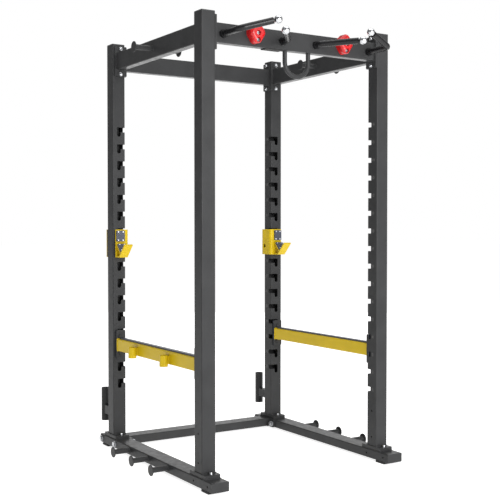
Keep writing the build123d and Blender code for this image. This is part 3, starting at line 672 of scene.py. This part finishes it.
@dataclass
class WeldBeads:
    """All the weld beads on one body, with the ripple a hand weld leaves."""

    name: str
    body: str
    slot: str
    runs: list[WeldRun]
    ripple_pitch: float = 0.0048
    ripple: float = 0.13
    steps_to_ripple: int = 4
    fewest_steps: int = 24
    corner_steps: int = 8
    ring: int = 8
    flatness: float = 0.85
    lean: float = 0.25
    piece: bpy.types.Object | None = None

    def outline(self, run: WeldRun) -> list[Vector]:
        """Evenly spaced points round a rounded rectangle.

        Args:
            run: the bead.

        Returns:
            The points, in the row frame.
        """
        right = Vector(run.across).normalized()
        up = Vector(run.normal).normalized().cross(right)
        half = (run.wide / 2 - run.corner, run.tall / 2 - run.corner)
        corners = ((1, 1, 0.0), (-1, 1, 0.5), (-1, -1, 1.0), (1, -1, 1.5))
        flat = []
        for sx, sy, start in corners:
            for i in range(self.corner_steps + 1):
                a = math.pi * (start + i / (2 * self.corner_steps))
                across = sx * half[0] + run.corner * math.cos(a)
                along = sy * half[1] + run.corner * math.sin(a)
                flat.append(Vector((across, along)))
        lengths = [(flat[(i + 1) % len(flat)] - flat[i]).length for i in range(len(flat))]
        total = sum(lengths)
        count = max(self.fewest_steps, round(total / self.ripple_pitch) * self.steps_to_ripple)
        points = []
        i = 0
        gone = 0.0
        for k in range(count):
            want = total * k / count
            while gone + lengths[i] < want and i < len(flat) - 1:
                gone += lengths[i]
                i += 1
            share = (want - gone) / lengths[i] if lengths[i] else 0.0
            at = flat[i].lerp(flat[(i + 1) % len(flat)], min(max(share, 0.0), 1.0))
            points.append(Vector(run.centre) + right * at.x + up * at.y)
        return points

    def add_run(self, shape: bmesh.types.BMesh, run: WeldRun) -> None:
        """Add one bead.

        Args:
            shape: mesh that takes it.
            run: the bead.
        """
        points = self.outline(run)
        normal = Vector(run.normal).normalized()
        rings = []
        for k, point in enumerate(points):
            along = (points[(k + 1) % len(points)] - points[k - 1]).normalized()
            out = along.cross(normal)
            phase = 2 * math.pi * k / self.steps_to_ripple
            radius = run.bead * (1 + self.ripple * math.sin(phase))
            lean = along * (run.bead * self.lean)
            ring = []
            for j in range(self.ring):
                a = 2 * math.pi * j / self.ring
                up = normal * (radius * self.flatness * math.sin(a))
                ring.append(shape.verts.new(point + out * (radius * math.cos(a)) + up + lean * math.sin(a)))
            rings.append(ring)
        for k, ring in enumerate(rings):
            following = rings[(k + 1) % len(rings)]
            for j in range(self.ring):
                n = (j + 1) % self.ring
                shape.faces.new((ring[j], following[j], following[n], ring[n]))

    def build(self) -> "WeldBeads":
        """Make the beads as one mesh.

        Returns:
            Itself.
        """
        shape = bmesh.new()
        for run in self.runs:
            self.add_run(shape, run)
        bmesh.ops.recalc_face_normals(shape, faces=shape.faces)
        mesh = bpy.data.meshes.new(self.name)
        shape.to_mesh(mesh)
        shape.free()
        mesh.polygons.foreach_set("use_smooth", [True] * len(mesh.polygons))
        self.piece = link_piece(self.name, mesh, self.body)
        return self

    def dress(self, shop: PaintShop) -> None:
        """The beads are coated with what they join."""
        shop.dress(self.piece, self.slot)


@dataclass
class Welder:
    """Finds where the frame's tubes, plates and bars meet, and lists the beads there."""

    tube_long: float = 0.100
    tube_short: float = 0.050
    tube_corner: float = 0.005
    post_corner: float = 0.006
    flange: float = 0.010
    seat_length: float = 0.160
    seat_width: float = 0.090
    seat_corner: float = 0.004
    peg_diameter: float = 0.030
    disc_diameter: float = 0.060
    peg_count: int = 3
    collar_diameter: float = 0.038
    loop_bar: float = 0.024
    bracket_width: float = 0.036
    bracket_height: float = 0.217
    bracket_low: float = 0.118
    bracket_corner: float = 0.001
    bar_corner: float = 0.004
    seat_bead: float = 0.0026
    light_bead: float = 0.0028
    least_flat: float = 0.00001

    def posts(self) -> list[WeldRun]:
        """Round each post's foot and each seat plate."""
        runs = []
        for end in End:
            for side in Side:
                low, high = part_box(post_name(end, side))
                at = (low + high) / 2
                runs.append(WeldRun((at.x, at.y, low.z), (0, 0, 1), (1, 0, 0),
                                    high.x - low.x, high.y - low.y, self.post_corner))
                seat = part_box("beam_seats")[0].z
                runs.append(WeldRun((at.x, at.y, seat), (0, 0, 1), (1, 0, 0),
                                    self.seat_width, self.seat_length, self.seat_corner, self.seat_bead))
        return runs

    def tube_ends(self, node: str, axis: int, wide: float, tall: float) -> list[WeldRun]:
        """Round both ends of a beam, on its flanges.

        Args:
            node: the beam's node.
            axis: the axis it runs along, 0 for X and 1 for Y.
            wide: the tube's width, level and across the beam.
            tall: the tube's height.

        Returns:
            The two runs.
        """
        low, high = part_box(node)
        across = (0, 1, 0) if axis == 0 else (1, 0, 0)
        runs = []
        for at_end, way in ((low[axis] + self.flange, 1), (high[axis] - self.flange, -1)):
            centre = middle(node)
            centre[axis] = at_end
            normal = (way, 0, 0) if axis == 0 else (0, way, 0)
            runs.append(WeldRun(tuple(centre), normal, across, wide, tall, self.tube_corner))
        return runs

    def beams(self) -> list[WeldRun]:
        """Round the ends of the top beams and of the rear base beam, on their flanges."""
        runs = []
        for end in End:
            runs += self.tube_ends(f"top_beam_{end.word}", 0, self.tube_short, self.tube_long)
        for side in Side:
            runs += self.tube_ends(f"top_beam_{side.word}", 1, self.tube_short, self.tube_long)
        return runs + self.tube_ends("rear_base_beam", 0, self.tube_long, self.tube_short)

    def round_run(self, centre: Point, normal: Point, across: Point, diameter: float) -> WeldRun:
        """Bead round a bar.

        Args:
            centre: centre of the joint.
            normal: off the plate.
            across: any direction in the plate.
            diameter: the bar's diameter.

        Returns:
            The run.
        """
        corner = diameter / 2 - self.least_flat
        return WeldRun(centre, normal, across, diameter, diameter, corner, self.light_bead)

    def pegs(self) -> list[WeldRun]:
        """Round the band pegs' roots."""
        runs = []
        for side in Side:
            sign = side.value
            beam_low, beam_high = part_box(f"base_beam_{side.word}")
            low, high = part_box(f"band_pegs_{side.word}")
            root = beam_high.x if sign > 0 else beam_low.x
            first = low.y + self.disc_diameter / 2
            pitch = (high.y - low.y - self.disc_diameter) / (self.peg_count - 1)
            z = (low.z + high.z) / 2
            for i in range(self.peg_count):
                runs.append(self.round_run((root, first + i * pitch, z), (sign, 0, 0), (0, 1, 0),
                                           self.peg_diameter))
            top_low, top_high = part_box(f"top_pegs_{side.word}")
            centre = (top_low.x + top_high.x) / 2
            at = middle(f"top_pegs_{side.word}")
            for way in (-1, 1):
                face = centre + way * self.tube_short / 2
                runs.append(self.round_run((face, at.y, at.z), (way, 0, 0), (0, 1, 0), self.peg_diameter))
        return runs

    def fittings(self) -> list[WeldRun]:
        """Round the grips' collars, the hanging loop's legs and the bar holders' brackets."""
        runs = []
        for side in Side:
            for place in ("outer", "inner"):
                low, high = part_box(f"grip_{place}_{side.word}")
                near = low.x if (place == "inner") == (side is Side.RIGHT) else high.x
                inward = 1 if near == low.x else -1
                x = near + inward * self.collar_diameter / 2
                z = self.collar_height(f"grip_{place}_{side.word}")
                runs.append(self.round_run((x, high.y, z), (0, -1, 0), (1, 0, 0), self.collar_diameter))
            post_low, post_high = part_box(post_name(End.REAR, side))
            root = ((post_low.x + post_high.x) / 2, post_high.y, self.bracket_low + self.bracket_height / 2)
            runs.append(WeldRun(root, (0, 1, 0), (1, 0, 0), self.bracket_width, self.bracket_height,
                                self.bracket_corner, self.light_bead))
        low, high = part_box("hanging_loop")
        for x in (low.x + self.loop_bar / 2, high.x - self.loop_bar / 2):
            top = (x, (low.y + high.y) / 2, high.z)
            runs.append(self.round_run(top, (0, 0, -1), (1, 0, 0), self.loop_bar))
        return runs

    def collar_height(self, node: str) -> float:
        """Height of a grip's root: its collar is the lowest thing on it."""
        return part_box(node)[0].z + self.collar_diameter / 2

    def safety(self, side: Side) -> list[WeldRun]:
        """Round a safety bar's ends, on its end plates.

        Args:
            side: which bar.

        Returns:
            The runs.
        """
        low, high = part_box(f"safety_bar_{side.word}")
        at = middle(f"safety_bar_{side.word}")
        runs = []
        for y, way in ((low.y, 1), (high.y, -1)):
            runs.append(WeldRun((at.x, y, at.z), (0, way, 0), (1, 0, 0),
                                high.x - low.x, high.z - low.z, self.bar_corner))
        return runs


# ------------------------------------------------------------------ studio


@dataclass
class Viewpoint:
    """A still camera on a tripod, placed from the middle of the four posts at floor level."""

    right: float = -2.9346
    behind: float = -4.7327
    up: float = 1.3284
    turn: float = 0.5620
    dip: float = 0.0250
    lens: float = 68.71
    sensor: float = 36.0
    far: float = 200.0

    def build(self) -> bpy.types.Object:
        """Make the scene's camera.

        Returns:
            The camera.
        """
        front = middle(post_name(End.FRONT, Side.LEFT))
        rear = middle(post_name(End.REAR, Side.RIGHT))
        centre = (front + rear) / 2
        data = bpy.data.cameras.new("tripod_camera")
        data.lens = self.lens
        data.sensor_width = self.sensor
        data.clip_end = self.far
        camera = bpy.data.objects.new("tripod_camera", data)
        camera.location = (centre.x + self.right, centre.y + self.behind, self.up)
        camera.rotation_euler = (math.pi / 2 - self.dip, 0.0, -self.turn)
        bpy.context.scene.collection.objects.link(camera)
        bpy.context.scene.camera = camera
        return camera


@dataclass(frozen=True)
class Softbox:
    """One square area light."""

    name: str
    place: Point
    size: float
    power: float

    def build(self, aim: Vector) -> bpy.types.Object:
        """Hang the light and aim it.

        Args:
            aim: what it points at.

        Returns:
            The light.
        """
        data = bpy.data.lights.new(self.name, "AREA")
        data.shape = "SQUARE"
        data.size = self.size
        data.energy = self.power
        light = bpy.data.objects.new(self.name, data)
        light.location = self.place
        light.visible_camera = False
        light.rotation_euler = (aim - Vector(self.place)).to_track_quat("-Z", "Y").to_euler()
        bpy.context.scene.collection.objects.link(light)
        return light


@dataclass
class Studio:
    """Pale seamless floor under soft light, brightest from the front."""

    floor_half: float = 60.0
    floor_colour: Colour = (0.7, 0.7, 0.7)
    white: Colour = (1.0, 1.0, 1.0)
    sky: float = 0.25
    surround: float = 1.0
    floor_glow: float = 0.83
    cloud_scale: float = 1.5
    boxes: tuple[Softbox, ...] = (
        Softbox("overhead_softbox", (0.4, -0.6, 6.0), 6.0, 190.0),
        Softbox("front_softbox", (-0.2, -7.0, 2.2), 3.5, 410.0),
        Softbox("front_right_softbox", (3.2, -6.2, 2.6), 4.0, 60.0),
        Softbox("back_softbox", (4.6, 7.0, 3.2), 7.0, 160.0),
    )

    def floor(self) -> bpy.types.Object:
        """Make the floor.

        Returns:
            The floor.
        """
        shape = bmesh.new()
        bmesh.ops.create_grid(shape, x_segments=4, y_segments=4, size=self.floor_half)
        mesh = bpy.data.meshes.new("studio_floor")
        shape.to_mesh(mesh)
        shape.free()
        floor = bpy.data.objects.new("studio_floor", mesh)
        bpy.context.scene.collection.objects.link(floor)
        make = Recipe("pale_floor")
        make.set(Roughness=0.9, Specular_IOR_Level=0.1, Emission_Color=(*self.white, 1.0),
                 Emission_Strength=self.floor_glow)
        make.colour_from(make.mottled(self.floor_colour, self.cloud_scale, dark=1.0, pale=1.02, detail=2.0))
        mesh.materials.append(make.material)
        floor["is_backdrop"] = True
        return floor

    def air(self) -> None:
        """Light the room evenly, with a plain white surround that only the camera sees."""
        world = bpy.data.worlds.new("white_room")
        world.use_nodes = True
        tree = world.node_tree
        tree.nodes.clear()
        path = tree.nodes.new("ShaderNodeLightPath")
        mix = tree.nodes.new("ShaderNodeMixShader")
        out = tree.nodes.new("ShaderNodeOutputWorld")
        tree.links.new(path.outputs["Is Camera Ray"], mix.inputs[0])
        for socket, strength in ((mix.inputs[1], self.sky), (mix.inputs[2], self.surround)):
            glow = tree.nodes.new("ShaderNodeBackground")
            glow.inputs["Color"].default_value = (*self.white, 1.0)
            glow.inputs["Strength"].default_value = strength
            tree.links.new(glow.outputs[0], socket)
        tree.links.new(mix.outputs[0], out.inputs["Surface"])
        bpy.context.scene.world = world

    def build(self) -> None:
        """Set up the floor, the surround and the lights."""
        low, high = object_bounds()
        aim = (low + high) / 2
        self.floor()
        self.air()
        for box in self.boxes:
            box.build(aim)
        bpy.context.scene.view_settings.view_transform = "Standard"


# ------------------------------------------------------------------ the whole cage


def main() -> None:
    """Build the scene in order: frame, finishes, numbers, welds, studio, camera."""
    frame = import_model()
    shop = PaintShop()
    shop.dress_frame(frame)
    ink = PrintedInk().material()
    for end in End:
        for side in Side:
            numbers = SlotNumbers(end, side).build()
            numbers.dress(shop, ink)
            log.info("slot numbers on %s", post_name(end, side))
    welder = Welder()
    frame_runs = welder.posts() + welder.beams() + welder.pegs() + welder.fittings()
    beads = [WeldBeads("frame_weld_beads", "frame", "frame_coat", frame_runs)]
    for side in Side:
        beads.append(WeldBeads(f"safety_weld_beads_{side.word}", f"safety_{side.word}", "yellow_coat",
                               welder.safety(side)))
    for bead in beads:
        bead.build().dress(shop)
        log.info("%s: %d runs", bead.name, len(bead.runs))
    Studio().build()
    Viewpoint().build()


if __name__ == "__main__":
    main()
